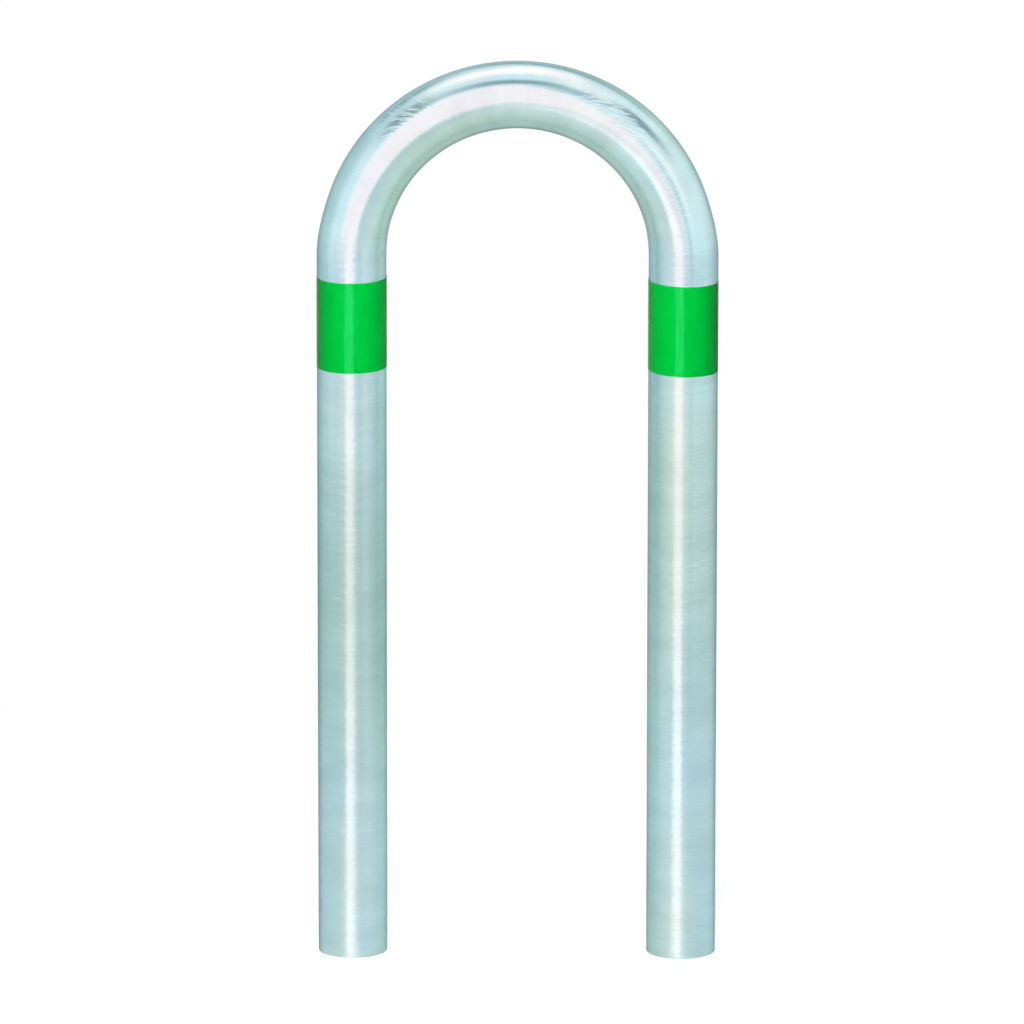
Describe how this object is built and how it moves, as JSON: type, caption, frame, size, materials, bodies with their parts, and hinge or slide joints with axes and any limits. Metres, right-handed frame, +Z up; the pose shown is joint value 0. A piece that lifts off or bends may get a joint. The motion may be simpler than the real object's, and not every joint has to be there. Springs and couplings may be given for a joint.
{
  "type": "hoop barrier",
  "caption": "Inverted U of round galvanised steel tube with a green film band round each leg, for keeping vehicles off a path or guarding a post.",
  "frame": {"origin": "on the ground, midway between the two cut ends", "axes": "+Z up, +X from the left leg to the right leg as seen from the front, +Y to the back, where the seams of the film lie"},
  "size_m": [0.4365, 0.0764, 1],
  "materials": {
    "galvanised_steel": "hot-dip galvanised and lightly brushed round the tube, satin, with a pale bluish green cast",
    "green_film": "smooth glossy self-adhesive film"
  },
  "bodies": {
    "root": {"hoop_tube": "galvanised_steel", "reflective_band_left": "green_film", "reflective_band_right": "green_film"}
  },
  "joints": []
}
